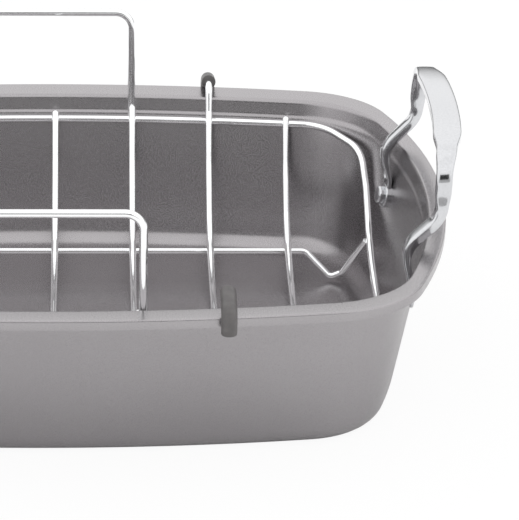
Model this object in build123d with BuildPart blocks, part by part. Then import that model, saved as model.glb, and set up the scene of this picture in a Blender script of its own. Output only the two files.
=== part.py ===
# Roasting pan with a lift-out wire rack.
# Millimetres, +Z up. The origin is under the middle of the pan, on the surface it stands on.
import os
from math import asin, atan2, cos, hypot, radians, sin, sqrt, tan

from build123d import *

os.makedirs("parts", exist_ok=True)

# One millimetre, for the small steps between named places
unit = 1.0

# Pan: overall
pan_height = 85.5
sheet = 1.2

# Pan: plan outline of the rim, bowed along the sides and the ends
rim_half_length = 204.2
rim_half_width = 166.3
side_bow_radius = 950.0
end_bow_radius = 355.0
rim_corner_radius = 53.0

# Pan: the wall, at the rim and at the base before its edge is rounded
flange_end_width = 8.4
flange_side_width = 14.5
wall_end_lean = 16.8
wall_side_lean = 16.5
wall_top_half_length = rim_half_length - flange_end_width
wall_top_half_width = rim_half_width - flange_side_width
wall_top_corner_radius = 52.0
wall_base_half_length = wall_top_half_length - wall_end_lean
wall_base_half_width = wall_top_half_width - wall_side_lean
wall_base_corner_radius = 43.0
base_edge_radius = 12.5

# Pan: flange, its turned-down skirt and the ledge pressed into the wall
flange_dip = 0.85
skirt_height = 5.0
rim_edge_radius = 1.0
rim_land = 1.4
flange_inner_radius = 2.2
ledge_drop = 9.0
ledge_rise = 1.6
ledge_step = 0.6
ledge_run = 9.0

# Clearances and welds
weld_sink = 0.3
running_gap = 0.3

# Pan handles: drops and rises are from the top of the rim
handle_foot_spread = 70.0
handle_knee_inset = 26.0
handle_knee_drop = 2.0
handle_knee_radius = 14.0
handle_elbow_spread = 71.5
handle_elbow_inset = 8.4
handle_elbow_rise = 15.5
handle_elbow_radius = 15.0
handle_shoulder_spread = 70.0
handle_shoulder_inset = 7.0
handle_shoulder_rise = 44.8
handle_shoulder_radius = 13.0
handle_crown_bulge = 5.0
handle_crown_rise = 4.0
handle_section_radius = 1.2
foot_width = 9.0
foot_depth = 2.7
ankle_rise = 8.5
ankle_radius = 12.0
arm_width = 9.0
arm_depth = 5.6
elbow_width = 7.6
elbow_depth = 6.6
leg_width = 5.4
leg_depth = 8.4
shoulder_width = 4.8
shoulder_depth = 10.5
grip_width = 4.6
grip_depth = 14.6
foot_pad_radius = 6.8
foot_pad_thickness = 3.0
foot_pad_drop = 29.3
foot_pad_edge_radius = 0.8

# Rivets
rivet_shank_radius = 3.0
rivet_head_radius = 4.7
rivet_head_height = 3.2
rivet_head_edge_radius = 1.2
rivet_tail_radius = 5.0
rivet_tail_height = 1.6
rivet_tail_edge_radius = 1.0

# Rack: wire sizes
frame_wire_radius = 2.0
rib_wire_radius = 1.95
loop_wire_radius = 2.1
rail_wire_radius = 1.6

# Rack: rectangular frame with bowed sides, its ends hanging a little less deep than the ribs
frame_side_gap = 7.6
frame_end_gap = 7.0
frame_half_width = wall_top_half_width - frame_side_gap
frame_end_half_length = wall_base_half_length - frame_end_gap
frame_drop = 12.7
frame_bow_radius = 1080.0
frame_bow_half_length = frame_end_half_length - 54 * unit
frame_corner_half_length = frame_end_half_length - 22.4 * unit
frame_corner_radius = 27.0
frame_fall_half_length = frame_end_half_length - 2.4 * unit
frame_fall_half_width = frame_half_width - 35.7 * unit
frame_fall_drop = frame_drop + 4.8 * unit
frame_fall_radius = 22.0
frame_heel_half_width = frame_half_width - 50.2 * unit
frame_heel_drop = frame_drop + 21.3 * unit
frame_heel_radius = 26.0
frame_haunch_half_width = frame_half_width - 78.2 * unit
frame_haunch_drop = frame_drop + 38.3 * unit
frame_haunch_radius = 30.0
frame_belly_half_width = frame_half_width - 98.2 * unit
frame_belly_drop = frame_drop + 44.5 * unit
frame_belly_radius = 90.0
frame_middle_drop = frame_drop + 50.8 * unit

# Rack: basket profile of the ribs
end_rib_inset = 20.6
ribs_each_side = 3
rib_pitch = (frame_corner_half_length - end_rib_inset) / ribs_each_side
basket_rise = 9.5
basket_drop = pan_height - basket_rise
shoulder_half_width = frame_half_width - 16.7 * unit
shoulder_drop = frame_drop + 22.3 * unit
shoulder_radius = 45.0
shoulder_bow_share = 0.6
haunch_half_width = frame_half_width - 44.2 * unit
haunch_drop = basket_drop - 12.5 * unit
haunch_radius = 44.0
belly_half_width = frame_half_width - 82.2 * unit
belly_drop = basket_drop - 2.2 * unit
belly_radius = 150.0
keel_radius = 600.0
rib_end_reach = 1.7
loop_rib_end_reach = 5.0

# Rack: lifting loops, welded behind the ribs beside the middle one
rear_loop_half_length = rib_pitch - 0.4 * unit
front_loop_half_length = rib_pitch + 2.2 * unit
loop_knee_reach = 4.0
loop_knee_radius = 5.0
loop_top_half_width = frame_half_width + 4.8 * unit
loop_top_rise = 48.4
loop_corner_radius = 9.0

# Rack: hooks over the rim and their sleeves
hook_bend_reach = 4.3
hook_bend_radius = 10.0
hook_leg_lean = 22.0
hook_inner_radius = 8.0
hook_outer_radius = 8.6
hook_crest_rise = 8.3
hook_tip_drop = 6.2
sleeve_radius = 3.9
sleeve_start_angle = 109.0
sleeve_tip_drop = 7.4

# Rack: lengthwise rails with a V foot at each end
rail_half_width = haunch_half_width - 11.5 * unit
rail_straight_half_length = frame_end_half_length - 33 * unit
foot_inner_half_length = frame_end_half_length - 19.5 * unit
foot_inner_rise = 0.5
foot_outer_half_length = frame_end_half_length - 13.5 * unit
foot_outer_rise = 3.1
foot_half_width = rail_half_width - 8.5 * unit
foot_tie_half_width = foot_half_width - 19 * unit
rail_bend_radius = 6.0
foot_bend_radius = 3.0

# Worked out
rim_z = pan_height
flange_inner_z = rim_z - flange_dip
ledge_z = rim_z - ledge_drop
rim_outline = (rim_half_length, rim_half_width, side_bow_radius, end_bow_radius, rim_corner_radius)


def height(drop):
    """Height above the base of a place given by its drop from the rim."""
    return rim_z - drop


def wall_outline(z):
    """Half length, half width and radii of the wall's outer face at height z."""
    share = z / pan_height
    swell = ledge_step * min(1, max(0, (z - ledge_z + ledge_run) / ledge_run))
    half_length = wall_base_half_length + (wall_top_half_length - wall_base_half_length) * share
    half_width = wall_base_half_width + (wall_top_half_width - wall_base_half_width) * share
    corner = wall_base_corner_radius + (wall_top_corner_radius - wall_base_corner_radius) * share
    return inset((half_length, half_width, side_bow_radius, end_bow_radius, corner), -swell)


def inset(outline, distance):
    """A parallel outline, moved inwards by a distance."""
    return tuple(size - distance for size in outline)


def bow(distance, radius):
    """How far an arc of this radius has fallen back at a distance from its middle."""
    return radius - sqrt(radius**2 - distance**2)


def bowed_outline(half_length, half_width, side_radius, end_radius, corner):
    """Face in plan with bowed sides, bowed ends and round corners, all tangent."""
    side_centre = Vector(0, half_width - side_radius)
    end_centre = Vector(half_length - end_radius, 0)
    base = end_centre - side_centre
    side_reach = side_radius - corner
    end_reach = end_radius - corner
    along = (side_reach**2 - end_reach**2 + base.length**2) / (2 * base.length)
    across = sqrt(side_reach**2 - along**2)
    base = base.normalized()
    corner_centre = side_centre + base * along + Vector(base.Y, -base.X) * across
    side_end = side_centre + (corner_centre - side_centre).normalized() * side_radius
    end_end = end_centre + (corner_centre - end_centre).normalized() * end_radius
    middle = (side_end + end_end) * 0.5 - corner_centre
    corner_middle = corner_centre + middle.normalized() * corner

    def flip(point, x, y):
        return (point.X * x, point.Y * y)

    with BuildLine() as outline:
        for y in (1, -1):
            ThreePointArc(flip(side_end, 1, y), (0, half_width * y), flip(side_end, -1, y))
        for x in (1, -1):
            ThreePointArc(flip(end_end, x, 1), (half_length * x, 0), flip(end_end, x, -1))
            for y in (1, -1):
                ThreePointArc(flip(side_end, x, y), flip(corner_middle, x, y), flip(end_end, x, y))
    make_face(outline.edges())


def cavity_outline(z):
    """Inner face of the wall at height z, below the ledge."""
    low = inset(wall_outline(sheet), sheet)
    high = inset(wall_outline(ledge_z - ledge_rise), sheet + ledge_step)
    share = (z - sheet) / (ledge_z - ledge_rise - sheet)
    return tuple(start + (end - start) * share for start, end in zip(low, high))


def finish(piece, name):
    """Label one piece and write it."""
    piece.label = name
    export_step(piece, f"parts/{name}.step")


# Pan shell
cavity_levels = (
    (sheet, cavity_outline(sheet)),
    (ledge_z - ledge_rise, cavity_outline(ledge_z - ledge_rise)),
    (ledge_z, inset(wall_outline(ledge_z), sheet)),
    (flange_inner_z, inset(wall_outline(flange_inner_z), sheet)),
    (rim_z, inset(rim_outline, rim_land)),
)
with BuildPart() as cavity:
    for level, outline in cavity_levels:
        with BuildSketch(Plane.XY.offset(level)):
            bowed_outline(*outline)
    loft(ruled=True)
    fillet(cavity.faces().sort_by(Axis.Z)[0].edges(), base_edge_radius - sheet)
    fillet(cavity.edges().filter_by_position(Axis.Z, flange_inner_z, flange_inner_z), flange_inner_radius)

with BuildPart() as pan_wall:
    for level in (0, ledge_z - ledge_run, ledge_z, flange_inner_z):
        with BuildSketch(Plane.XY.offset(level)):
            bowed_outline(*wall_outline(level))
    loft(ruled=True)
    fillet(pan_wall.faces().sort_by(Axis.Z)[0].edges(), base_edge_radius)

with BuildPart() as pan_shell:
    with BuildSketch(Plane.XY.offset(rim_z - skirt_height)):
        bowed_outline(*rim_outline)
    extrude(amount=skirt_height)
    fillet(pan_shell.faces().sort_by(Axis.Z)[-1].edges(), rim_edge_radius)
    with BuildSketch(Plane.XY.offset(rim_z - skirt_height)):
        bowed_outline(*inset(rim_outline, sheet))
    extrude(amount=skirt_height - flange_dip - sheet, mode=Mode.SUBTRACT)
    add(pan_wall.part)
    add(cavity.part, mode=Mode.SUBTRACT)


# Pan handles: place of the right rear foot on the end wall, its normal pointing into the pan
foot_z = height(foot_pad_drop)
foot_outline = cavity_outline(foot_z)
draft = atan2(wall_top_half_length - wall_base_half_length, pan_height)
foot_turn = asin(handle_foot_spread / foot_outline[3])
foot_wall = (wall_outline(foot_z)[0] - foot_outline[0]) * cos(draft)
foot_seat = bow(foot_pad_radius, end_bow_radius)
foot_x = foot_outline[0] - bow(handle_foot_spread, foot_outline[3])
foot_normal = Vector(-cos(foot_turn) * cos(draft), -sin(foot_turn) * cos(draft), sin(draft))
foot_upward = Vector(cos(foot_turn) * sin(draft), sin(foot_turn) * sin(draft), cos(draft))
foot_place = Plane((foot_x, handle_foot_spread, foot_z), x_dir=foot_upward, z_dir=foot_normal)
shank_start = foot_wall + rivet_tail_height / 2
shank_length = shank_start + foot_seat + foot_pad_thickness
foot_middle = foot_place.origin + foot_normal * (foot_seat + foot_pad_thickness / 2)

handle_points = (
    foot_middle,
    foot_middle + foot_upward * ankle_rise,
    (rim_half_length - handle_knee_inset, handle_foot_spread, height(handle_knee_drop)),
    (rim_half_length - handle_elbow_inset, handle_elbow_spread, rim_z + handle_elbow_rise),
    (rim_half_length - handle_shoulder_inset, handle_shoulder_spread, rim_z + handle_shoulder_rise),
    (rim_half_length - handle_shoulder_inset, 0, rim_z + handle_shoulder_rise),
)
handle_radii = (ankle_radius, handle_knee_radius, handle_elbow_radius, handle_shoulder_radius)

ankle_share = 0.072
knee_share = 0.2
handle_size_shares = (
    (0.0, foot_depth, foot_width),
    (ankle_share, foot_depth, foot_width),
    (knee_share, arm_depth, arm_width),
    (0.32, arm_depth, arm_width),
    (0.38, elbow_depth, elbow_width),
    (0.44, leg_depth, leg_width),
    (0.5, leg_depth, leg_width),
    (0.58, shoulder_depth, shoulder_width),
    (0.72, grip_depth, grip_width),
    (1.0, grip_depth, grip_width),
)
bend_step_share = 0.015
grip_shares = (0.64, 0.7, 0.76, 0.82, 0.88, 0.94)
crown_share = 1.0
handle_station_shares = tuple(step * bend_step_share for step in range(41)) + grip_shares
with BuildLine() as handle_path:
    FilletPolyline(*handle_points, radius=handle_radii)
handle_line = handle_path.wires()[0]


def handle_size(share):
    """Depth and width of the handle's section at a share of the way to the crown."""
    for start, end in zip(handle_size_shares[:-1], handle_size_shares[1:]):
        if start[0] <= share <= end[0]:
            part = (share - start[0]) / (end[0] - start[0])
            ease = part * part * (3 - 2 * part)
            return tuple(a + (b - a) * ease for a, b in zip(start[1:], end[1:]))


def handle_section(share, side):
    """Plane across the handle at a share of the way from a foot to the crown."""
    place = handle_line.position_at(share)
    along = handle_line.tangent_at(share)
    reach = min(1, (place.Y / handle_shoulder_spread) ** 2)
    x = place.X + handle_crown_bulge * (1 - reach)
    z = place.Z + handle_crown_rise * (1 - reach**2)
    turned = min(1, max(0, (share - ankle_share) / (knee_share - ankle_share)))
    facing = Vector(1, 0, 0) * turned - foot_normal * (1 - turned)
    outward = facing - along * facing.dot(along)
    if side > 0:
        return Plane((x, place.Y, z), x_dir=outward, z_dir=along)
    outward = (outward.X, -outward.Y, outward.Z)
    along = (-along.X, along.Y, -along.Z)
    return Plane((x, -place.Y, z), x_dir=outward, z_dir=along)


with BuildPart() as foot_pad:
    with BuildSketch(foot_place.offset(foot_seat)):
        Circle(foot_pad_radius)
    extrude(amount=foot_pad_thickness)
    fillet(foot_pad.faces().sort_by(Axis(foot_place.origin, foot_normal))[-1].edges(), foot_pad_edge_radius)

with BuildPart() as shank:
    with BuildSketch(foot_place.offset(-shank_start)):
        Circle(rivet_shank_radius)
    extrude(amount=shank_length)

stations = [(share, 1) for share in handle_station_shares]
stations += [(crown_share, 1)] + [(share, -1) for share, side in reversed(stations)]
with BuildPart() as right_handle:
    for share, side in stations:
        with BuildSketch(handle_section(share, side)):
            RectangleRounded(*handle_size(share), handle_section_radius)
    loft(ruled=True)
    add(foot_pad.part)
    add(mirror(foot_pad.part, about=Plane.XZ))
    add(shank.part, mode=Mode.SUBTRACT)
    add(mirror(shank.part, about=Plane.XZ), mode=Mode.SUBTRACT)
finish(right_handle.part, "right_handle")

with BuildPart() as left_handle:
    add(mirror(right_handle.part, about=Plane.YZ))
finish(left_handle.part, "left_handle")

# Rivets: a thick head inside the foot, a shank and a flat tail on the outside of the wall
with BuildPart() as rivet:
    with BuildSketch(foot_place.offset(foot_seat + foot_pad_thickness)):
        Circle(rivet_head_radius)
    extrude(amount=rivet_head_height)
    fillet(rivet.faces().sort_by(Axis(foot_place.origin, foot_normal))[-1].edges(), rivet_head_edge_radius)
    with BuildSketch(foot_place.offset(-foot_wall - rivet_tail_height)):
        Circle(rivet_tail_radius)
    extrude(amount=rivet_tail_height)
    fillet(rivet.faces().sort_by(Axis(foot_place.origin, foot_normal))[0].edges(), rivet_tail_edge_radius)
    add(shank.part)

with BuildPart() as right_rear_rivet:
    add(rivet.part)
finish(right_rear_rivet.part, "right_rear_rivet")

with BuildPart() as right_front_rivet:
    add(mirror(rivet.part, about=Plane.XZ))
finish(right_front_rivet.part, "right_front_rivet")

with BuildPart() as left_rear_rivet:
    add(mirror(rivet.part, about=Plane.YZ))
finish(left_rear_rivet.part, "left_rear_rivet")

with BuildPart() as left_front_rivet:
    add(mirror(right_front_rivet.part, about=Plane.YZ))
finish(left_front_rivet.part, "left_front_rivet")

with BuildPart() as riveted_shell:
    add(pan_shell.part)
    for hole in (shank.part, mirror(shank.part, about=Plane.XZ)):
        add(hole, mode=Mode.SUBTRACT)
        add(mirror(hole, about=Plane.YZ), mode=Mode.SUBTRACT)
finish(riveted_shell.part, "pan_shell")


# Rack
def half_width_at(x):
    """Half width of the bowed frame at a place along the pan."""
    return frame_half_width - bow(x, frame_bow_radius)


def rib_weld_point(x):
    """Where a rib crosses the frame, in its own plane: across, height."""
    across = half_width_at(x)
    shoulder = shoulder_point(x)
    slope = atan2(height(frame_drop) - shoulder[1], across - shoulder[0])
    reach = rib_wire_radius + frame_wire_radius - weld_sink
    return (across - reach * sin(slope), height(frame_drop) + reach * cos(slope))


def shoulder_point(x):
    """The basket profile's upper bend at a place along the pan: across, height."""
    fall = (frame_half_width - half_width_at(x)) * shoulder_bow_share
    return (shoulder_half_width - fall, height(shoulder_drop))


def past(start, end, distance):
    """A point this far beyond the end of a line from start to end."""
    length = hypot(end[0] - start[0], end[1] - start[1])
    return tuple(b + (b - a) / length * distance for a, b in zip(start, end))


def basket_half(x):
    """Half of a rib's profile, from its weld on the frame down to the middle."""
    return [
        rib_weld_point(x),
        shoulder_point(x),
        (haunch_half_width, height(haunch_drop)),
        (belly_half_width, height(belly_drop)),
        (0, height(basket_drop)),
    ]


basket_radii = [shoulder_radius, haunch_radius, belly_radius]
rib_radii = basket_radii + [keel_radius] + basket_radii[::-1]


def in_plane(x, points):
    """Points across and up, placed at x."""
    return [(x, across, up) for across, up in points]


def mirrored(points):
    """The same points on the front side, in reverse order."""
    return [(-across, up) for across, up in reversed(points)]


def wire(line, radius):
    """Round wire along a line, in the current part."""
    path = line.wires()[0]
    with BuildSketch(Plane(path.position_at(0), z_dir=path.tangent_at(0))) as section:
        Circle(radius)
    sweep(section.sketch, path=path)


def round_end(point, radius):
    """Rounded end of a wire, in the current part."""
    with Locations(point):
        Sphere(radius)


# Ribs that stop just above the frame
plain_ribs = {
    "center_rib": 0,
    "right_inner_rib": 1,
    "left_inner_rib": -1,
    "right_end_rib": ribs_each_side,
    "left_end_rib": -ribs_each_side,
}
for name, place in plain_ribs.items():
    x = place * rib_pitch
    half = basket_half(x)
    half[0] = past(half[1], half[0], loop_rib_end_reach if abs(place) == 1 else rib_end_reach)
    points = in_plane(x, half + mirrored(half)[1:])
    with BuildPart() as plain_rib:
        with BuildLine() as rib_line:
            FilletPolyline(*points, radius=rib_radii)
        wire(rib_line, rib_wire_radius)
        round_end(points[0], rib_wire_radius)
        round_end(points[-1], rib_wire_radius)
    finish(plain_rib.part, name)

# Ribs that go on past the frame, lean out and cross the rim as hooks, and the sleeves on the hooks
leg_lean = radians(hook_leg_lean)
crest_z = rim_z + hook_crest_rise
hook_radii = [hook_outer_radius, hook_inner_radius, hook_bend_radius]
for end, x in (("right", 2 * rib_pitch), ("left", -2 * rib_pitch)):
    half = basket_half(x)
    bend = past(half[1], half[0], hook_bend_reach)
    crest_across = bend[0] + (crest_z - bend[1]) * tan(leg_lean)
    tip_across = rim_half_width - bow(x, side_bow_radius) + running_gap + sleeve_radius
    tip = (tip_across, height(hook_tip_drop))
    half = [tip, (tip_across, crest_z), (crest_across, crest_z), bend] + half[1:]
    points = in_plane(x, half + mirrored(half)[1:])
    with BuildPart() as hook_rib:
        with BuildLine() as rib_line:
            FilletPolyline(*points, radius=hook_radii + rib_radii + hook_radii[::-1])
        wire(rib_line, rib_wire_radius)
        round_end(points[0], rib_wire_radius)
        round_end(points[-1], rib_wire_radius)
    finish(hook_rib.part, f"{end}_hook_rib")
    arch_across = crest_across + hook_inner_radius * tan((radians(90) - leg_lean) / 2)
    arch_angles = [radians(90 + (sleeve_start_angle - 90) * share) for share in (1, 0.5, 0)]
    for row, side in (("rear", 1), ("front", -1)):
        arch = []
        for angle in arch_angles:
            across = arch_across + hook_inner_radius * cos(angle)
            arch.append((x, across * side, crest_z + hook_inner_radius * (sin(angle) - 1)))
        corner = (x, tip_across * side, crest_z)
        with BuildPart() as hook_sleeve:
            with BuildLine() as sleeve_line:
                ThreePointArc(*arch)
                FilletPolyline(
                    arch[-1],
                    corner,
                    (x, tip_across * side, height(sleeve_tip_drop)),
                    radius=hook_outer_radius,
                )
            wire(sleeve_line, sleeve_radius)
            add(hook_rib.part, mode=Mode.SUBTRACT)
        finish(hook_sleeve.part, f"{end}_{row}_sleeve")

# Frame: one quarter swept from the middle of a side to the middle of an end, then mirrored
frame_z = height(frame_drop)
bow_end = (frame_bow_half_length, half_width_at(frame_bow_half_length), frame_z)
bow_middle = (frame_bow_half_length / 2, half_width_at(frame_bow_half_length / 2), frame_z)
bow_slope = frame_bow_half_length / (frame_bow_radius - bow(frame_bow_half_length, frame_bow_radius))
corner_across = bow_end[1] - (frame_corner_half_length - frame_bow_half_length) * bow_slope
frame_radii = (
    frame_corner_radius,
    frame_fall_radius,
    frame_heel_radius,
    frame_haunch_radius,
    frame_belly_radius,
)
with BuildPart() as frame_quarter:
    with BuildLine() as frame_line:
        ThreePointArc((0, frame_half_width, frame_z), bow_middle, bow_end)
        FilletPolyline(
            bow_end,
            (frame_corner_half_length, corner_across, frame_z),
            (frame_fall_half_length, frame_fall_half_width, height(frame_fall_drop)),
            (frame_end_half_length, frame_heel_half_width, height(frame_heel_drop)),
            (frame_end_half_length, frame_haunch_half_width, height(frame_haunch_drop)),
            (frame_end_half_length, frame_belly_half_width, height(frame_belly_drop)),
            (frame_end_half_length, 0, height(frame_middle_drop)),
            radius=frame_radii,
        )
    wire(frame_line, frame_wire_radius)

with BuildPart() as rack_frame:
    add(frame_quarter.part)
    mirror(about=Plane.YZ)
    mirror(about=Plane.XZ)
finish(rack_frame.part, "rack_frame")

# Lifting loops
for name, side, x in (("rear_loop", 1, rear_loop_half_length), ("front_loop", -1, front_loop_half_length)):
    across = half_width_at(x)
    shoulder = shoulder_point(x)
    start = past(shoulder, (across, frame_z), frame_wire_radius - weld_sink)
    knee = past(shoulder, (across, frame_z), loop_knee_reach)
    top = (loop_top_half_width, rim_z + loop_top_rise)
    leg = [(point[0] * side, point[1]) for point in (start, knee, top)]
    with BuildPart() as lifting_loop:
        with BuildLine() as loop_line:
            FilletPolyline(
                *in_plane(x, leg),
                *in_plane(-x, leg[::-1]),
                radius=(loop_knee_radius, loop_corner_radius, loop_corner_radius, loop_knee_radius),
            )
        wire(loop_line, loop_wire_radius)
    finish(lifting_loop.part, name)

# Foot rails under the ribs, each end bent down to a V foot and up to the frame's end
rib_slope = (belly_drop - haunch_drop) / (haunch_half_width - belly_half_width)
rib_z = height(haunch_drop + (haunch_half_width - rail_half_width) * rib_slope)
rail_z = rib_z - (rib_wire_radius + rail_wire_radius - weld_sink) * hypot(1, rib_slope)
end_slope = (frame_belly_drop - frame_haunch_drop) / (frame_haunch_half_width - frame_belly_half_width)
tie_z = height(frame_haunch_drop + (frame_haunch_half_width - foot_tie_half_width) * end_slope)
tie_x = frame_end_half_length - frame_wire_radius
foot_bottom_z = sheet + running_gap + rail_wire_radius
foot_radii = (foot_bend_radius, foot_bend_radius, rail_bend_radius)
for name, side in (("rear_foot_rail", 1), ("front_foot_rail", -1)):
    half = (
        (tie_x, foot_tie_half_width * side, tie_z),
        (foot_outer_half_length, foot_half_width * side, foot_bottom_z + foot_outer_rise),
        (foot_inner_half_length, foot_half_width * side, foot_bottom_z + foot_inner_rise),
        (rail_straight_half_length, rail_half_width * side, rail_z),
    )
    with BuildPart() as foot_rail:
        with BuildLine() as rail_line:
            FilletPolyline(
                *half,
                *[(-x, across, up) for x, across, up in reversed(half)],
                radius=foot_radii + foot_radii[::-1],
            )
        wire(rail_line, rail_wire_radius)
    finish(foot_rail.part, name)
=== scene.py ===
from math import asin, atan2, cos, hypot, pi, radians, sin, sqrt, tan

import bmesh
import bpy
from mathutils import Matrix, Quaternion, Vector


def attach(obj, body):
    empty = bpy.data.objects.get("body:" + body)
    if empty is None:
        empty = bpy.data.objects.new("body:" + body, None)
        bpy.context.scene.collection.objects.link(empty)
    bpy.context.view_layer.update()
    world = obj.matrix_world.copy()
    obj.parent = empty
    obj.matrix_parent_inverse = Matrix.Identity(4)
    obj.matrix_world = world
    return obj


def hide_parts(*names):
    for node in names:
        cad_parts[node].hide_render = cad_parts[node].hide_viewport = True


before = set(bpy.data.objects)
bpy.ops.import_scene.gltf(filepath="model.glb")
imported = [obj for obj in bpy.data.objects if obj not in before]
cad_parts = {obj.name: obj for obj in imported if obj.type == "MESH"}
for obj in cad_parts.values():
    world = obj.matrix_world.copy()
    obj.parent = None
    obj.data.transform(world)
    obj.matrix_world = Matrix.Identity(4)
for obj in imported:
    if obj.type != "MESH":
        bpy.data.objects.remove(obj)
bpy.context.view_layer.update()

# Roasting pan with a lift-out wire rack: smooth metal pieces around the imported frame.
# Sizes are in millimetres, as in the part's source. A finished mesh is scaled to metres once.
MM = 0.001

# Pan
pan_height = 85.5
sheet = 1.2
rim_half_length = 204.2
rim_half_width = 166.3
side_bow_radius = 950.0
end_bow_radius = 355.0
# Outlines: half length, half width, radius of the sides, of the ends and of the corners
rim = (rim_half_length, rim_half_width, side_bow_radius, end_bow_radius, 53.0)
wall_top = (195.8, 151.8, side_bow_radius, end_bow_radius, 52.0)
wall_base = (179.0, 135.3, side_bow_radius, end_bow_radius, 43.0)
base_edge_radius = 12.5
flange_dip = 0.85
skirt_height = 5.0
rim_edge_radius = 1.0
rim_land = 1.4
flange_inner_radius = 2.2
flange_under_radius = 1.5
skirt_inner_radius = 1.0
hem_radius = 0.3
dish_edge_radius = 0.35
ledge_drop = 9.0
ledge_rise = 1.6
ledge_step = 0.6
ledge_run = 9.0
ledge_round = 0.84
# Heights of the rings on the plain wall, in their order along the sheet, and of the wall's middle
outer_wall_heights = (30, 42, 54)
inner_wall_heights = (62, 50, 38, 28)
wall_middle_height = 50

# Pan handles
handle_foot_spread = 70.0
handle_knee_inset = 26.0
handle_knee_drop = 2.0
handle_knee_radius = 14.0
handle_elbow_spread = 71.5
handle_elbow_inset = 8.4
handle_elbow_rise = 15.5
handle_elbow_radius = 15.0
handle_shoulder_spread = 70.0
handle_shoulder_inset = 7.0
handle_shoulder_rise = 44.8
handle_shoulder_radius = 13.0
handle_crown_bulge = 5.0
handle_crown_rise = 4.0
foot_width = 9.0
foot_depth = 2.7
arm_width = 9.0
arm_depth = 5.6
elbow_width = 7.6
elbow_depth = 6.6
leg_width = 5.4
leg_depth = 8.4
shoulder_width = 4.8
shoulder_depth = 10.5
grip_width = 4.6
grip_depth = 14.6
ankle_rise = 8.5
ankle_radius = 12.0
ankle_share = 0.072
knee_share = 0.2
foot_pad_radius = 6.8
foot_pad_thickness = 3.0
foot_pad_drop = 29.3
foot_pad_edge_radius = 0.8

# Rivets
rivet_head_radius = 4.7
rivet_head_height = 3.2
rivet_head_edge_radius = 1.2
rivet_tail_radius = 5.0
rivet_tail_height = 1.6
rivet_tail_edge_radius = 1.0

# Rack wires
weld_sink = 0.3
running_gap = 0.3
frame_wire_radius = 2.0
rib_wire_radius = 1.95
loop_wire_radius = 2.1
rail_wire_radius = 1.6

# Rack frame
frame_half_width = 144.2
frame_drop = 12.7
frame_bow_radius = 1080.0
frame_bow_half_length = 118.0
frame_corner_half_length = 149.6
frame_corner_radius = 27.0
# Corners of a quarter's dipped end: along, across and drop from the rim
frame_fall = (169.6, 108.5, 17.5)
frame_fall_radius = 22.0
frame_heel = (172.0, 94.0, 34.0)
frame_heel_radius = 26.0
frame_haunch = (172.0, 66.0, 51.0)
frame_haunch_radius = 30.0
frame_belly = (172.0, 46.0, 57.2)
frame_belly_radius = 90.0
frame_keel = (172.0, 16.0, 62.2)
frame_keel_radius = 180.0

# Ribs
rib_pitch = 43.0
shoulder_half_width = 127.5
shoulder_drop = 35.0
shoulder_radius = 45.0
shoulder_bow_share = 0.6
haunch_half_width = 100.0
haunch_drop = 63.5
haunch_radius = 44.0
belly_half_width = 62.0
belly_drop = 73.8
belly_radius = 150.0
basket_drop = 76.0
keel_radius = 600.0
rib_end_reach = 1.7
loop_rib_end_reach = 5.0

# Lifting loops
rear_loop_half_length = 42.6
front_loop_half_length = 45.2
loop_knee_reach = 4.0
loop_knee_radius = 5.0
loop_top_half_width = 149.0
loop_top_rise = 48.4
loop_corner_radius = 9.0

# Hooks and sleeves
hook_bend_reach = 4.3
hook_bend_radius = 10.0
hook_leg_lean = 22.0
hook_inner_radius = 7.0
hook_outer_radius = 6.0
hook_crest_rise = 8.4
hook_fall = 4.9
hook_tip_drop = 4.7
sleeve_radius = 3.9
sleeve_start_share = 0.13
sleeve_tip_drop = 6.1

# Foot rails
rail_half_width = 88.5
rail_straight_half_length = 139.0
foot_inner_half_length = 152.5
foot_inner_rise = 0.5
foot_outer_half_length = 158.5
foot_outer_rise = 3.1
foot_half_width = 80.0
foot_tie_half_width = 61.0
rail_bend_radius = 6.0
foot_bend_radius = 3.0

# How finely the meshes are divided
ring_end_steps = 12
ring_corner_steps = 18
ring_side_steps = 14
fillet_steps = 10
wire_bevel_resolution = 10
bend_steps = 12
dome_steps = 6
flat_end_steps = 2
disc_sides = 48
disc_edge_steps = 5
handle_steps = 120
section_points = 40

# Points closer than merge_distance become one, a curve's knot keeps arms of at least shortest_arm,
# and an edge that turns more than sharp_angle looks sharp
merge_distance = 0.001
shortest_arm = 0.3
sharp_angle = radians(38)

# Ends of the wires, in wire radii: how far out an end's edges are looked for, how round the edge
# of a cut end is and how blunt the tip of a dome
end_reach_share = 1.2
cut_round_share = 0.15
dome_tip_share = 0.02

# Surfaces: scale of the soft clouds and their share in tone and shine, and the part of a noise that shows
cloud_scale = 11.0
cloud_tone_share = 0.45
cloud_shine_share = 0.4
noise_span = (0.3, 0.7)
rubber_mottle_scale = 260.0
rubber_roughness = 0.34
rubber_mottle_shine = 0.16
rubber_bump_height = 0.03

rim_z = pan_height
flange_inner_z = rim_z - flange_dip
ledge_z = rim_z - ledge_drop


# Shader nodes as plain expressions
class Shader:
    """The node tree of a material or of the world, with one method that adds any node."""

    def __init__(self, owner):
        owner.use_nodes = True
        self.owner = owner
        self.tree = owner.node_tree
        self.tree.nodes.clear()

    def node(self, kind, settings=None, **inputs):
        made = self.tree.nodes.new(kind)
        for key, value in (settings or {}).items():
            if key == "stops":
                fill_ramp(made.color_ramp, value)
            else:
                setattr(made, key, value)
        for key, value in inputs.items():
            socket = find_socket(made, key)
            if isinstance(value, Socket):
                self.tree.links.new(value.socket, socket)
            else:
                socket.default_value = value
        return made

    def out(self, kind, settings=None, output=0, **inputs):
        """An output of a new node, by its number or name."""
        return Socket(self, self.node(kind, settings, **inputs).outputs[output])


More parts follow.
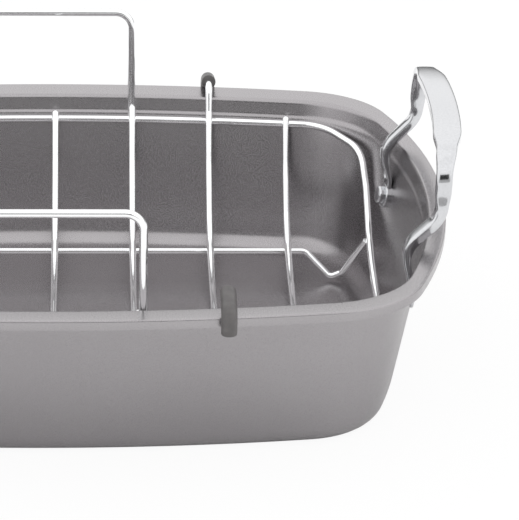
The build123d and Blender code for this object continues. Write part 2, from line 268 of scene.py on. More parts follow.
class Socket:
    """An output socket that can be used in Python expressions."""

    def __init__(self, shader, socket):
        self.shader = shader
        self.socket = socket

    def maths(self, operation, first, second):
        return self.shader.out("ShaderNodeMath", {"operation": operation}, i0=first, i1=second)

    def __add__(self, other):
        return self.maths("ADD", self, other)

    def __radd__(self, other):
        return self.maths("ADD", other, self)

    def __sub__(self, other):
        return self.maths("SUBTRACT", self, other)

    def __rsub__(self, other):
        return self.maths("SUBTRACT", other, self)

    def __mul__(self, other):
        return self.maths("MULTIPLY", self, other)

    def __rmul__(self, other):
        return self.maths("MULTIPLY", other, self)


def find_socket(node, key):
    """An input by its number, as i0, or by its name with underscores for spaces."""
    if key[0] == "i" and key[1:].isdigit():
        return node.inputs[int(key[1:])]
    return node.inputs[key.replace("_", " ")]


def fill_ramp(ramp, stops):
    """Sets a ramp's stops, each a place and a grey or a colour."""
    while len(ramp.elements) < len(stops):
        ramp.elements.new(1)
    for element, (place, value) in zip(ramp.elements, stops):
        element.position = place
        element.color = value if isinstance(value, tuple) else (value, value, value, 1)


def fade(shader, value, span, low=0.0, high=1.0, kind="LINEAR"):
    """Goes from low to high as a value crosses a span, and stays level outside it."""
    start, end = span
    return shader.out("ShaderNodeMapRange", {"interpolation_type": kind}, Value=value,
                      From_Min=start, From_Max=end, To_Min=low, To_Max=high)


def noise(shader, place, scale, detail=2.0, roughness=0.5):
    """A cloudy pattern between 0 and 1."""
    return shader.out("ShaderNodeTexNoise", output="Fac", Vector=place, Scale=scale, Detail=detail,
                      Roughness=roughness)


def colours(shader, dark, light, tone):
    """A colour between dark and light that follows a noise."""
    low, high = noise_span
    return shader.out("ShaderNodeValToRGB", {"stops": ((low, dark), (high, light))}, Fac=tone)


# Materials
def metal(name, dark, light, grain, roughness, bump_height, bump_scale, metallic=1.0):
    """Metal whose colour and roughness drift softly, over a finer grain that also lifts the surface."""
    shader = Shader(bpy.data.materials.new(name))
    place = shader.out("ShaderNodeTexCoord", output="Object")
    cloud = noise(shader, place, cloud_scale, detail=3.0)
    fine = noise(shader, place, grain, roughness=0.6)
    tone = cloud * cloud_tone_share + fine * (1 - cloud_tone_share)
    polish = cloud * cloud_shine_share + fine * (1 - cloud_shine_share)
    normal = shader.out("ShaderNodeBump", Height=noise(shader, place, bump_scale), Strength=1.0,
                        Distance=bump_height * MM)
    surface = shader.out("ShaderNodeBsdfPrincipled", Base_Color=colours(shader, dark, light, tone),
                         Metallic=metallic, Roughness=fade(shader, polish, noise_span, *roughness),
                         Normal=normal)
    shader.node("ShaderNodeOutputMaterial", Surface=surface)
    return shader.owner


def rubber(name, dark, light):
    """Silicone rubber with a faint mottle and a soft skin."""
    shader = Shader(bpy.data.materials.new(name))
    place = shader.out("ShaderNodeTexCoord", output="Object")
    mottle = noise(shader, place, rubber_mottle_scale, detail=3.0)
    shine = mottle * rubber_mottle_shine + rubber_roughness
    normal = shader.out("ShaderNodeBump", Height=mottle, Strength=1.0, Distance=rubber_bump_height * MM)
    surface = shader.out("ShaderNodeBsdfPrincipled", Base_Color=colours(shader, dark, light, mottle),
                         Roughness=shine, Normal=normal, Specular_IOR_Level=0.45)
    shader.node("ShaderNodeOutputMaterial", Surface=surface)
    return shader.owner


coat = metal("metallic_coat", dark=(0.34, 0.325, 0.334, 1), light=(0.385, 0.37, 0.379, 1), grain=2600.0,
             roughness=(0.23, 0.31), bump_height=0.02, bump_scale=900.0, metallic=0.98)
chrome = metal("chrome_plate", dark=(0.86, 0.865, 0.87, 1), light=(0.92, 0.925, 0.93, 1), grain=300.0,
               roughness=(0.04, 0.09), bump_height=0.01, bump_scale=120.0)
steel = metal("polished_steel", dark=(0.55, 0.555, 0.57, 1), light=(0.66, 0.665, 0.68, 1), grain=900.0,
              roughness=(0.08, 0.17), bump_height=0.01, bump_scale=160.0)
silicone = rubber("grey_silicone", dark=(0.085, 0.08, 0.08, 1), light=(0.12, 0.113, 0.112, 1))


# Making pieces
def finish_piece(bm, name, body, slot, material, *nodes):
    """Turns a mesh in millimetres into a piece in metres that rides on a body and stands for its nodes."""
    bmesh.ops.remove_doubles(bm, verts=bm.verts, dist=merge_distance)
    bmesh.ops.recalc_face_normals(bm, faces=bm.faces)
    bmesh.ops.scale(bm, vec=(MM, MM, MM), verts=bm.verts)
    mesh = bpy.data.meshes.new(name)
    bm.to_mesh(mesh)
    bm.free()
    mesh.shade_smooth()
    mesh.set_sharp_from_angle(angle=sharp_angle)
    mesh.materials.append(material)
    piece = bpy.data.objects.new(name, mesh)
    bpy.context.collection.objects.link(piece)
    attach(piece, body)
    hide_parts(*nodes)


def loop_edges(verts):
    """All edges that meet these points, each once."""
    return list({edge for vert in verts for edge in vert.link_edges})


def height(drop):
    """Height above the base of a place given by its drop from the rim."""
    return rim_z - drop


def bow(distance, radius):
    """How far an arc of this radius has fallen back at a distance from its middle."""
    return radius - sqrt(radius**2 - distance**2)


def inset(outline, distance):
    """A parallel outline, moved inwards by a distance."""
    return tuple(size - distance for size in outline)


def between(low, high, share):
    """Sizes a share of the way from low to high."""
    return tuple(start + (end - start) * share for start, end in zip(low, high))


def wall_outline(z):
    """Outline of the wall's outer face at a height."""
    swell = ledge_step * min(1, max(0, (z - ledge_z + ledge_run) / ledge_run))
    return inset(between(wall_base, wall_top, z / pan_height), -swell)


def cavity_outline(z):
    """Outline of the wall's inner face at a height below the ledge."""
    low = inset(wall_outline(sheet), sheet)
    high = inset(wall_outline(ledge_z - ledge_rise), sheet + ledge_step)
    return between(low, high, (z - sheet) / (ledge_z - ledge_rise - sheet))


# Pan
def outline_points(outline, z):
    """Points round a bowed outline, evenly spaced on each of its arcs."""
    half_length, half_width, side_radius, end_radius, corner = outline
    side_centre = Vector((0, half_width - side_radius))
    end_centre = Vector((half_length - end_radius, 0))
    base = end_centre - side_centre
    along = ((side_radius - corner) ** 2 - (end_radius - corner) ** 2 + base.length**2) / (2 * base.length)
    across = sqrt((side_radius - corner) ** 2 - along**2)
    base.normalize()
    corner_centre = side_centre + base * along + Vector((base.y, -base.x)) * across
    end_turn = atan2(*reversed(corner_centre - end_centre))
    side_turn = atan2(*reversed(corner_centre - side_centre))
    arcs = (
        (end_centre, end_radius, 0, end_turn, ring_end_steps),
        (corner_centre, corner, end_turn, side_turn, ring_corner_steps),
        (side_centre, side_radius, side_turn, pi / 2, ring_side_steps),
    )
    quarter = []
    for centre, radius, start, end, steps in arcs:
        for step in range(steps):
            turn = start + (end - start) * step / steps
            quarter.append(centre + Vector((cos(turn), sin(turn))) * radius)
    quarter.append(Vector((0, half_width)))
    right = [(point.x, point.y) for point in quarter]
    left = [(-x, y) for x, y in reversed(right[:-1])]
    rear = right + left
    front = [(x, -y) for x, y in reversed(rear[1:-1])]
    return [Vector((x, y, z)) for x, y in rear + front]


def ring(bm, outline, z):
    """A closed loop of edges: a circle whose points are moved onto the outline."""
    points = outline_points(outline, z)
    loop = bmesh.ops.create_circle(bm, segments=len(points), radius=1)["verts"]
    for vert, point in zip(loop, points):
        vert.co = point
    return loop_edges(loop)


def base_edge(wall, floor_z, radius, share):
    """Section of the round edge between floor and wall, from the floor at share 0 to the wall at 1."""
    draft = atan2(wall_top[0] - wall_base[0] + wall_top[1] - wall_base[1], 2 * pan_height)
    turn = share * (pi / 2 - draft)
    top = wall(floor_z + radius * (1 - sin(draft)))
    return inset(top, radius * (cos(draft) - sin(turn))), floor_z + radius * (1 - cos(turn))


def rounded(start, corner, end, radius, steps):
    """Sections round the corner between two runs. A section is an outline and its height."""
    sections = []
    reach_in = min(1, radius / section_gap(start, corner))
    reach_out = min(1, radius / section_gap(corner, end))
    first = blend_sections(corner, start, reach_in)
    last = blend_sections(corner, end, reach_out)
    for step in range(steps + 1):
        share = step / steps
        one = blend_sections(first, corner, share)
        two = blend_sections(corner, last, share)
        sections.append(blend_sections(one, two, share))
    return sections


def section_gap(one, two):
    """Distance between two sections, measured at the middle of a side."""
    return hypot(one[0][1] - two[0][1], one[1] - two[1])


def blend_sections(one, two, share):
    """A section a share of the way from one to two."""
    return between(one[0], two[0], share), one[1] + (two[1] - one[1]) * share


def pan_sections():
    """Sections of the sheet, from the base outside over the rim to the floor inside."""
    steps = range(fillet_steps + 1)
    sections = [base_edge(wall_outline, 0, base_edge_radius, step / fillet_steps) for step in steps]
    sections += [(wall_outline(z), z) for z in (*outer_wall_heights, ledge_z - ledge_run, ledge_z)]
    under_z = flange_inner_z - sheet
    wall_end = (wall_outline(under_z), under_z)
    hem_top = (inset(rim, sheet), under_z)
    hem_low = (inset(rim, sheet), rim_z - skirt_height)
    skirt_low = (rim, rim_z - skirt_height)
    edge = (rim, rim_z)
    land = (inset(rim, rim_land), rim_z)
    dish = (inset(wall_outline(flange_inner_z), sheet), flange_inner_z)
    ledge_top = (inset(wall_outline(ledge_z), sheet), ledge_z)
    ledge_low = (cavity_outline(ledge_z - ledge_rise), ledge_z - ledge_rise)
    wall_middle = (cavity_outline(wall_middle_height), wall_middle_height)
    # Corner, radius and steps of each bend of the sheet
    corners = (
        (wall_end, flange_under_radius, 4),
        (hem_top, skirt_inner_radius, 4),
        (hem_low, hem_radius, 2),
        (skirt_low, hem_radius, 2),
        (edge, rim_edge_radius, 6),
        (land, dish_edge_radius, 2),
        (dish, flange_inner_radius, 8),
        (ledge_top, ledge_round, 4),
        (ledge_low, ledge_round, 4),
    )
    path = [sections[-1]] + [corner for corner, radius, count in corners] + [wall_middle]
    for index, (corner, radius, count) in enumerate(corners):
        sections += rounded(path[index], corner, path[index + 2], radius, count)
    sections += [(cavity_outline(z), z) for z in inner_wall_heights]
    floor_radius = base_edge_radius - sheet
    for step in reversed(steps):
        sections.append(base_edge(cavity_outline, sheet, floor_radius, step / fillet_steps))
    return sections


def make_pan():
    """The pressed pan in one skin: rings bridged from the base outside, over the rim, to the floor inside."""
    bm = bmesh.new()
    loops = [ring(bm, outline, z) for outline, z in pan_sections()]
    for low, high in zip(loops[:-1], loops[1:]):
        bmesh.ops.bridge_loops(bm, edges=low + high)
    for loop in (loops[0], loops[-1]):
        bmesh.ops.contextual_create(bm, geom=loop)
    finish_piece(bm, "pressed_pan", "pan", "coated_steel", coat, "pan_shell")


# Wires
def bent_line(points, radii, closed=False):
    """A curve object of straight runs between the points, with a round bend at each corner."""
    points = [Vector(point) for point in points]
    curve = bpy.data.curves.new("line", "CURVE")
    curve.dimensions = "3D"
    curve.resolution_u = bend_steps
    spline = curve.splines.new("BEZIER")
    knots = []
    count = len(points)
    corners = range(count) if closed else range(1, count - 1)
    if not closed:
        knots.append((points[0], points[1] - points[0], 0))
    for corner, radius in zip(corners, radii):
        here = points[corner]
        back = (points[corner - 1] - here).normalized()
        ahead = (points[(corner + 1) % count] - here).normalized()
        turn = pi - back.angle(ahead)
        reach = radius * tan(turn / 2)
        pull = 4 / 3 * tan(turn / 4) * radius
        knots.append((here + back * reach, -back, pull))
        knots.append((here + ahead * reach, ahead, -pull))
    if not closed:
        knots.append((points[-1], points[-1] - points[-2], 0))
    spline.bezier_points.add(len(knots) - 1)
    spline.use_cyclic_u = closed
    for index, (place, along, pull) in enumerate(knots):
        knot = spline.bezier_points[index]
        along = along.normalized()
        knot.handle_left_type = knot.handle_right_type = "FREE"
        knot.co = place
        knot.handle_left = place - along * max(shortest_arm, -pull)
        knot.handle_right = place + along * max(shortest_arm, pull)
    return bpy.data.objects.new("line", curve)


def tube(points, radii, radius, closed=False, domed=True):
    """A new mesh of round wire along a bent line, with domed or square ends."""
    line = bent_line(points, radii, closed)
    line.data.bevel_depth = radius
    line.data.bevel_resolution = wire_bevel_resolution
    mesh = bpy.data.meshes.new_from_object(line)
    bm = bmesh.new()
    bm.from_mesh(mesh)
    bpy.data.objects.remove(line)
    bpy.data.meshes.remove(mesh)
    bmesh.ops.remove_doubles(bm, verts=bm.verts, dist=merge_distance)
    if not closed:
        for end, inner in ((points[0], points[1]), (points[-1], points[-2])):
            outward = (Vector(end) - Vector(inner)).normalized()
            close_end(bm, Vector(end), outward, radius, domed)
    return bm


def close_end(bm, centre, outward, radius, domed):
    """Closes the open end of a tube, with a dome or a slightly rounded flat face."""
    near = radius * end_reach_share
    edges = [edge for edge in bm.edges
             if edge.is_boundary and all((vert.co - centre).length < near for vert in edge.verts)]
    steps = dome_steps if domed else flat_end_steps
    share = 1 if domed else cut_round_share
    for step in range(1, steps + 1):
        turn = pi / 2 * step / steps
        spread = max(dome_tip_share, 1 - (1 - cos(turn)) * share)
        lift = radius * share * sin(turn)
        made = bmesh.ops.extrude_edge_only(bm, edges=edges)["geom"]
        verts = [item for item in made if isinstance(item, bmesh.types.BMVert)]
        edges = [item for item in made if isinstance(item, bmesh.types.BMEdge)]
        for vert in verts:
            away = vert.co - centre
            away -= outward * away.dot(outward)
            vert.co = centre + away.normalized() * radius * spread + outward * lift
    bmesh.ops.contextual_create(bm, geom=edges)


def make_wire(name, node, points, radii, radius, **ends):
    """One bent wire of the rack."""
    finish_piece(tube(points, radii, radius, **ends), name, "rack", "chrome_wire", chrome, node)


def half_width_at(x):
    """Half width of the bowed frame at a place along the pan."""
    return frame_half_width - bow(x, frame_bow_radius)


def shoulder_point(x):
    """The ribs' upper bend at a place along the pan: across, height."""
    fall = (frame_half_width - half_width_at(x)) * shoulder_bow_share
    return (shoulder_half_width - fall, height(shoulder_drop))


def rib_weld_point(x):
    """Where a rib crosses the frame, in its own plane: across, height."""
    across = half_width_at(x)
    shoulder = shoulder_point(x)
    lean = atan2(height(frame_drop) - shoulder[1], across - shoulder[0])
    reach = rib_wire_radius + frame_wire_radius - weld_sink
    return (across - reach * sin(lean), height(frame_drop) + reach * cos(lean))


def past(start, end, distance):
    """A point this far beyond the end of a line from start to end."""
    length = hypot(end[0] - start[0], end[1] - start[1])
    return tuple(b + (b - a) / length * distance for a, b in zip(start, end))


def basket_half(x):
    """Half of a rib's profile, from its weld on the frame down to the middle."""
    return [
        rib_weld_point(x),
        shoulder_point(x),
        (haunch_half_width, height(haunch_drop)),
        (belly_half_width, height(belly_drop)),
        (0, height(basket_drop)),
    ]


def both_sides(x, half):
    """Points of half a rib, in its plane at x, and their mirror image."""
    return [(x, across, up) for across, up in half + [(-across, up) for across, up in reversed(half[:-1])]]


basket_radii = [shoulder_radius, haunch_radius, belly_radius]
rib_radii = basket_radii + [keel_radius] + basket_radii[::-1]


def make_plain_rib(node, x, end_reach):
    """A rib that stops a little way past the frame."""
    half = basket_half(x)
    half[0] = past(half[1], half[0], end_reach)
    make_wire(f"{node}_wire", node, both_sides(x, half), rib_radii, rib_wire_radius)


def hook_places(x):
    """The hook's bend above the frame, the two corners of its sloping crest and its tip: across, height."""
    half = basket_half(x)
    bend = past(half[1], half[0], hook_bend_reach)
    crest_z = rim_z + hook_crest_rise
    crest_across = bend[0] + (crest_z - bend[1]) * tan(radians(hook_leg_lean))
    tip_across = rim_half_width - bow(x, side_bow_radius) + running_gap + sleeve_radius
    crest = (crest_across, crest_z)
    corner = (tip_across, crest_z - hook_fall)
    return bend, crest, corner, (tip_across, height(hook_tip_drop))


def make_hook_rib(node, x):
    """A rib that goes on over the rim at both ends."""
    half = list(reversed(hook_places(x))) + basket_half(x)[1:]
    radii = [hook_outer_radius, hook_inner_radius, hook_bend_radius]
    make_wire(f"{node}_wire", node, both_sides(x, half), radii + rib_radii + radii[::-1], rib_wire_radius)


def make_sleeve(node, x, side):
    """The rubber sleeve on a hook's crest and outer leg, cut square at both ends."""
    crest, corner, tip = hook_places(x)[1:]
    start = between(crest, corner, sleeve_start_share)
    end = (tip[0], height(sleeve_tip_drop))
    line = [(x, across * side, up) for across, up in (start, corner, end)]
    bm = tube(line, [hook_outer_radius], sleeve_radius, domed=False)
    finish_piece(bm, f"{node}_skin", "rack", "grey_silicone", silicone, node)


def frame_points():
    """Corners of the closed frame and their radii, round all four quarters."""
    slope = frame_bow_half_length / (frame_bow_radius - bow(frame_bow_half_length, frame_bow_radius))
    bow_end = half_width_at(frame_bow_half_length)
    apex = bow_end + frame_bow_half_length * slope
    corner = bow_end - (frame_corner_half_length - frame_bow_half_length) * slope
    quarter = (
        ((frame_corner_half_length, corner, frame_drop), frame_corner_radius),
        (frame_fall, frame_fall_radius),
        (frame_heel, frame_heel_radius),
        (frame_haunch, frame_haunch_radius),
        (frame_belly, frame_belly_radius),
        (frame_keel, frame_keel_radius),
    )

    def placed(x_side, y_side):
        return [((x * x_side, y * y_side, height(drop)), radius) for (x, y, drop), radius in quarter]

    points = [((0, apex, height(frame_drop)), frame_bow_radius)]
    points += placed(1, 1) + placed(1, -1)[::-1]
    points += [((0, -apex, height(frame_drop)), frame_bow_radius)]
    points += placed(-1, -1) + placed(-1, 1)[::-1]
    return zip(*points)


def make_frame():
    """The closed frame wire."""
    points, radii = frame_points()
    make_wire("frame_wire", "rack_frame", points, radii, frame_wire_radius, closed=True)


def make_loop(node, x, side):
    """A lifting loop: two legs that rise from the frame and a bar between them."""
    weld = (half_width_at(x), height(frame_drop))
    start = past(shoulder_point(x), weld, frame_wire_radius - weld_sink)
    knee = past(shoulder_point(x), weld, loop_knee_reach)
    top = (loop_top_half_width, rim_z + loop_top_rise)
    leg = [(x, across * side, up) for across, up in (start, knee, top)]
    points = leg + [(-x, across, up) for x, across, up in reversed(leg)]
    radii = (loop_knee_radius, loop_corner_radius, loop_corner_radius, loop_knee_radius)
    make_wire(f"{node}_wire", node, points, radii, loop_wire_radius, domed=False)


def make_rail(node, side):
    """A rail under the ribs with a V foot at each end."""
    rib_slope = (belly_drop - haunch_drop) / (haunch_half_width - belly_half_width)
    rib_z = height(haunch_drop + (haunch_half_width - rail_half_width) * rib_slope)
    rail_z = rib_z - (rib_wire_radius + rail_wire_radius - weld_sink) * hypot(1, rib_slope)
    frame_end, upper_across, upper_drop = frame_haunch
    lower_across, lower_drop = frame_belly[1:]
    end_slope = (lower_drop - upper_drop) / (upper_across - lower_across)
    tie_z = height(upper_drop + (upper_across - foot_tie_half_width) * end_slope)
    bottom_z = sheet + running_gap + rail_wire_radius
    half = [
        (frame_end - frame_wire_radius, foot_tie_half_width * side, tie_z),
        (foot_outer_half_length, foot_half_width * side, bottom_z + foot_outer_rise),
        (foot_inner_half_length, foot_half_width * side, bottom_z + foot_inner_rise),
        (rail_straight_half_length, rail_half_width * side, rail_z),
    ]
    radii = (foot_bend_radius, foot_bend_radius, rail_bend_radius)
    points = half + [(-x, across, up) for x, across, up in reversed(half)]
    make_wire(f"{node}_wire", node, points, radii + radii[::-1], rail_wire_radius, domed=False)


# Handles
foot_z = height(foot_pad_drop)
foot_half_length, _, _, foot_bow_radius, _ = cavity_outline(foot_z)
end_draft = atan2(wall_top[0] - wall_base[0], pan_height)
foot_turn = asin(handle_foot_spread / foot_bow_radius)
foot_wall = (wall_outline(foot_z)[0] - foot_half_length) * cos(end_draft)
foot_seat = bow(foot_pad_radius, end_bow_radius)
foot_along = foot_half_length - bow(handle_foot_spread, foot_bow_radius)
foot_centre = Vector((foot_along, handle_foot_spread, foot_z))
foot_normal = Vector((-cos(foot_turn) * cos(end_draft), -sin(foot_turn) * cos(end_draft), sin(end_draft)))
foot_upward = Vector((cos(foot_turn) * sin(end_draft), sin(foot_turn) * sin(end_draft), cos(end_draft)))
foot_middle = foot_centre + foot_normal * (foot_seat + foot_pad_thickness / 2)

handle_points = (
    foot_middle,
    foot_middle + foot_upward * ankle_rise,
    (rim_half_length - handle_knee_inset, handle_foot_spread, height(handle_knee_drop)),
    (rim_half_length - handle_elbow_inset, handle_elbow_spread, rim_z + handle_elbow_rise),
    (rim_half_length - handle_shoulder_inset, handle_shoulder_spread, rim_z + handle_shoulder_rise),
    (rim_half_length - handle_shoulder_inset, 0, rim_z + handle_shoulder_rise),
)
handle_radii = (ankle_radius, handle_knee_radius, handle_elbow_radius, handle_shoulder_radius)

# Share of the way from the foot to the crown, depth in and out, width across, squareness of the section
handle_size_shares = (
    (0.0, foot_depth, foot_width, 5.0),
    (ankle_share, foot_depth, foot_width, 5.0),
    (knee_share, arm_depth, arm_width, 4.0),
    (0.32, arm_depth, arm_width, 4.0),
    (0.38, elbow_depth, elbow_width, 3.6),
    (0.44, leg_depth, leg_width, 3.4),
    (0.5, leg_depth, leg_width, 3.4),
    (0.58, shoulder_depth, shoulder_width, 4.5),
    (0.72, grip_depth, grip_width, 7.0),
    (1.0, grip_depth, grip_width, 7.0),
)


def handle_size(share):
    """Depth, width and squareness of the handle's section at a share of the way to the crown."""
    for start, end in zip(handle_size_shares[:-1], handle_size_shares[1:]):
        if share <= end[0]:
            part = (share - start[0]) / (end[0] - start[0])
            return between(start[1:], end[1:], part * part * (3 - 2 * part))
    return handle_size_shares[-1][1:]


def walk(points, steps):
    """Places and directions at even distances along a line of points."""
    lengths = [0]
    for one, two in zip(points[:-1], points[1:]):
        lengths.append(lengths[-1] + (two - one).length)
    places = []
    index = 0
    for step in range(steps + 1):
        goal = lengths[-1] * step / steps
        while index < len(points) - 2 and lengths[index + 1] < goal:
            index += 1
        run = points[index + 1] - points[index]
        places.append((points[index] + run * ((goal - lengths[index]) / run.length), run.normalized()))
    return places


def line_points(points, radii):
    """Points along a bent line, in order, without repeats."""
    line = bent_line(points, radii)
    mesh = bpy.data.meshes.new_from_object(line)
    found = [vert.co.copy() for vert in mesh.vertices]
    bpy.data.objects.remove(line)
    bpy.data.meshes.remove(mesh)
    kept = [one for one, two in zip(found[:-1], found[1:]) if (two - one).length > merge_distance]
    return kept + found[-1:]


def section_loop(bm, centre, outward, across, depth, width, squareness):
    """A loop of edges round the strap: a circle pressed to a soft-cornered rectangle."""
    loop = bmesh.ops.create_circle(bm, segments=section_points, radius=1)["verts"]
    power = 2 / squareness
    for index, vert in enumerate(loop):
        turn = 2 * pi * index / section_points
        x, y = cos(turn), sin(turn)
        x = abs(x) ** power * (1 if x > 0 else -1) * depth / 2
        y = abs(y) ** power * (1 if y > 0 else -1) * width / 2
        vert.co = centre + outward * x + across * y
    return loop_edges(loop)


def handle_stations():
    """Centre, outward direction and share of each section, from the foot to the crown."""
    stations = []
    for index, (place, along) in enumerate(walk(line_points(handle_points, handle_radii), handle_steps)):
        share = index / handle_steps
        reach = min(1, (place.y / handle_shoulder_spread) ** 2)
        centre = place + Vector((handle_crown_bulge * (1 - reach), 0, handle_crown_rise * (1 - reach**2)))
        turned = min(1, max(0, (share - ankle_share) / (knee_share - ankle_share)))
        facing = Vector((1, 0, 0)) * turned - foot_normal * (1 - turned)
        outward = (facing - along * facing.dot(along)).normalized()
        stations.append((centre, outward, along.cross(outward), share))
    return stations


def add_disc(bm, radius, low, thickness, edge_radius, round_top=True):
    """Adds a round disc on the foot's place, from low along its normal, and returns the disc's points."""
    made = bmesh.ops.create_cone(bm, cap_ends=True, segments=disc_sides, radius1=radius, radius2=radius,
                                 depth=thickness)
    verts = made["verts"]
    sign = 1 if round_top else -1
    rim_edges = [edge for edge in loop_edges(verts) if all(vert.co.z * sign > 0 for vert in edge.verts)]
    rounded_off = bmesh.ops.bevel(bm, geom=rim_edges, offset=edge_radius, offset_type="OFFSET",
                                  segments=disc_edge_steps, profile=0.5, affect="EDGES", clamp_overlap=True,
                                  material=-1)
    verts = list({vert for vert in verts if vert.is_valid} | set(rounded_off["verts"]))
    turn = Vector((0, 0, 1)).rotation_difference(foot_normal).to_matrix()
    middle = foot_centre + foot_normal * (low + thickness / 2)
    for vert in verts:
        vert.co = turn @ vert.co + middle
    return verts


def make_handle(node, x_side):
    """A forged handle: a strap from foot to crown, mirrored, with a round pad at each foot."""
    bm = bmesh.new()
    stations = handle_stations()
    flip = Vector((1, -1, 1))
    stations += [(centre * flip, outward * flip, across * flip, share)
                 for centre, outward, across, share in reversed(stations[:-1])]
    loops = [section_loop(bm, centre, outward, across, *handle_size(share))
             for centre, outward, across, share in stations]
    for one, two in zip(loops[:-1], loops[1:]):
        bmesh.ops.bridge_loops(bm, edges=one + two)
    for loop in (loops[0], loops[-1]):
        bmesh.ops.contextual_create(bm, geom=loop)
    for y_side in (1, -1):
        pad = add_disc(bm, foot_pad_radius, foot_seat, foot_pad_thickness, foot_pad_edge_radius)
        bmesh.ops.scale(bm, vec=(1, y_side, 1), verts=pad)
    bmesh.ops.scale(bm, vec=(x_side, 1, 1), verts=bm.verts)
    finish_piece(bm, f"{node}_strap", "pan", "polished_steel", steel, node)


def make_rivet(node, x_side, y_side):
    """A rivet: its head inside the pan and its flat tail outside."""
    bm = bmesh.new()
    head_low = foot_seat + foot_pad_thickness
    tail_low = -foot_wall - rivet_tail_height
    add_disc(bm, rivet_head_radius, head_low, rivet_head_height, rivet_head_edge_radius)
    add_disc(bm, rivet_tail_radius, tail_low, rivet_tail_height, rivet_tail_edge_radius, round_top=False)
    bmesh.ops.scale(bm, vec=(x_side, y_side, 1), verts=bm.verts)
    finish_piece(bm, f"{node}_head", "pan", "polished_steel", steel, node)


make_pan()
make_handle("right_handle", 1)
make_handle("left_handle", -1)
sides = {"right": 1, "left": -1}
rows = {"rear": 1, "front": -1}
for end, x_side in sides.items():
    for row, y_side in rows.items():
        make_rivet(f"{end}_{row}_rivet", x_side, y_side)
        make_sleeve(f"{end}_{row}_sleeve", 2 * rib_pitch * x_side, y_side)
    make_plain_rib(f"{end}_inner_rib", rib_pitch * x_side, loop_rib_end_reach)
    make_hook_rib(f"{end}_hook_rib", 2 * rib_pitch * x_side)
    make_plain_rib(f"{end}_end_rib", 3 * rib_pitch * x_side, rib_end_reach)
make_plain_rib("center_rib", 0, rib_end_reach)
make_frame()
make_loop("rear_loop", rear_loop_half_length, 1)
make_loop("front_loop", front_loop_half_length, -1)
make_rail("rear_foot_rail", 1)
make_rail("front_foot_rail", -1)


# Stage, in metres
floor_reach = 6.0
floor_tone = 0.92
floor_whiteness = 0.93
camera_place = (0.02111, -1.62495, 0.73206)
camera_aim = (0.10549, -0.06, 0.07252)
camera_roll = radians(1.2077)
camera_lens = 231.94
sensor_width = 36.0

# Brightness of the studio from the horizon to overhead: before the camera, at the sides and behind the pan
front_glow = ((0.0, 0.4), (0.12, 0.45), (0.3, 0.85), (0.6, 1.0), (1.0, 0.95))
side_glow = ((0.0, 0.85), (0.3, 1.0), (0.6, 1.0), (1.0, 0.95))
rear_glow = ((0.0, 0.1), (0.12, 0.2), (0.3, 0.95), (0.6, 1.0), (1.0, 0.95))
studio_level = 1.32

# Where front turns into side and into rear, and the edges of the dark gap, as parts of a unit direction
side_turn = (0.4, 0.7)
rear_turn = (0.1, 0.6)
gap_sides = (0.3, 0.36)
gap_bottom = (0.13, 0.15)
gap_top = (0.4, 0.42)
gap_darkness = 0.95


def seen_by_camera(shader):
    """1 for what the camera sees straight, 0 for what only lights or mirrors."""
    return Socket(shader, shader.node("ShaderNodeLightPath").outputs["Is Camera Ray"])


def make_floor():
    """A pale floor that shows white to the camera and keeps a soft shadow."""
    shader = Shader(bpy.data.materials.new("pale_floor"))
    lit = shader.out("ShaderNodeBsdfDiffuse", Color=(floor_tone, floor_tone, floor_tone, 1))
    white = shader.out("ShaderNodeEmission", Color=(1, 1, 1, 1), Strength=1.0)
    surface = shader.out("ShaderNodeMixShader", i0=seen_by_camera(shader) * floor_whiteness, i1=lit, i2=white)
    shader.node("ShaderNodeOutputMaterial", Surface=surface)
    bm = bmesh.new()
    bmesh.ops.create_grid(bm, x_segments=2, y_segments=2, size=floor_reach)
    mesh = bpy.data.meshes.new("floor")
    bm.to_mesh(mesh)
    bm.free()
    mesh.materials.append(shader.owner)
    floor = bpy.data.objects.new("floor", mesh)
    bpy.context.collection.objects.link(floor)


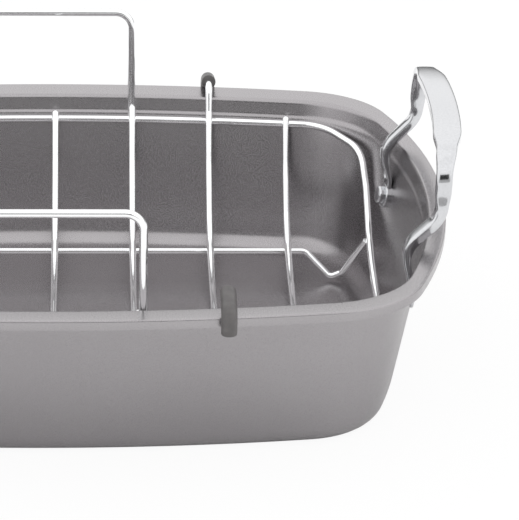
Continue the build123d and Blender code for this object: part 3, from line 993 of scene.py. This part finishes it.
def make_sky():
    """White all round for the camera. The metal sees a bright room with a dark gap round the camera."""
    world = bpy.data.worlds.new("studio")
    bpy.context.scene.world = world
    shader = Shader(world)
    place = shader.out("ShaderNodeTexCoord", output="Generated")
    parts = shader.node("ShaderNodeSeparateXYZ", Vector=place)
    sideways, rearward, upward = (Socket(shader, parts.outputs[name]) for name in "XYZ")
    beside = shader.out("ShaderNodeMath", {"operation": "ABSOLUTE"}, i0=sideways)
    front, side, rear = (shader.out("ShaderNodeValToRGB", {"stops": glow}, Fac=upward)
                         for glow in (front_glow, side_glow, rear_glow))
    turned = fade(shader, beside, side_turn, kind="SMOOTHSTEP")
    behind = fade(shader, rearward, rear_turn, kind="SMOOTHSTEP")
    narrow = fade(shader, beside, gap_sides, 1.0, 0.0)
    above = fade(shader, upward, gap_bottom)
    below = fade(shader, upward, gap_top, 1.0, 0.0)
    gap = narrow * above * below * (1.0 - behind)
    round_pan = front + (side - front) * turned
    level = (round_pan + (rear - round_pan) * behind) * (1.0 - gap * gap_darkness) * studio_level
    seen = seen_by_camera(shader)
    strength = seen + (1.0 - seen) * level
    surface = shader.out("ShaderNodeBackground", Color=(1, 1, 1, 1), Strength=strength)
    shader.node("ShaderNodeOutputWorld", Surface=surface)


def make_lamp(name, place, aim, size, watts):
    """A soft square lamp that points at a place."""
    light = bpy.data.lights.new(name, "AREA")
    light.shape = "SQUARE"
    light.size = size
    light.energy = watts
    lamp = bpy.data.objects.new(name, light)
    lamp.location = place
    lamp.rotation_mode = "QUATERNION"
    lamp.rotation_quaternion = (Vector(aim) - Vector(place)).to_track_quat("-Z", "Y")
    bpy.context.collection.objects.link(lamp)


def make_camera():
    """The camera at the photograph's place, tilted a little as the picture is."""
    camera = bpy.data.cameras.new("camera")
    camera.sensor_width = sensor_width
    camera.lens = camera_lens
    camera.clip_start = 0.05
    camera.clip_end = 60.0
    viewer = bpy.data.objects.new("camera", camera)
    viewer.rotation_mode = "QUATERNION"
    viewer.location = camera_place
    view = (Vector(camera_aim) - Vector(camera_place)).to_track_quat("-Z", "Y")
    viewer.rotation_quaternion = view @ Quaternion((0, 0, 1), camera_roll)
    bpy.context.collection.objects.link(viewer)
    bpy.context.scene.camera = viewer


make_floor()
make_sky()
make_lamp("top_lamp", place=(-0.2, 0.1, 1.8), aim=(0, 0, 0), size=1.4, watts=0.5)
make_camera()

bpy.context.scene.view_settings.view_transform = "Standard"
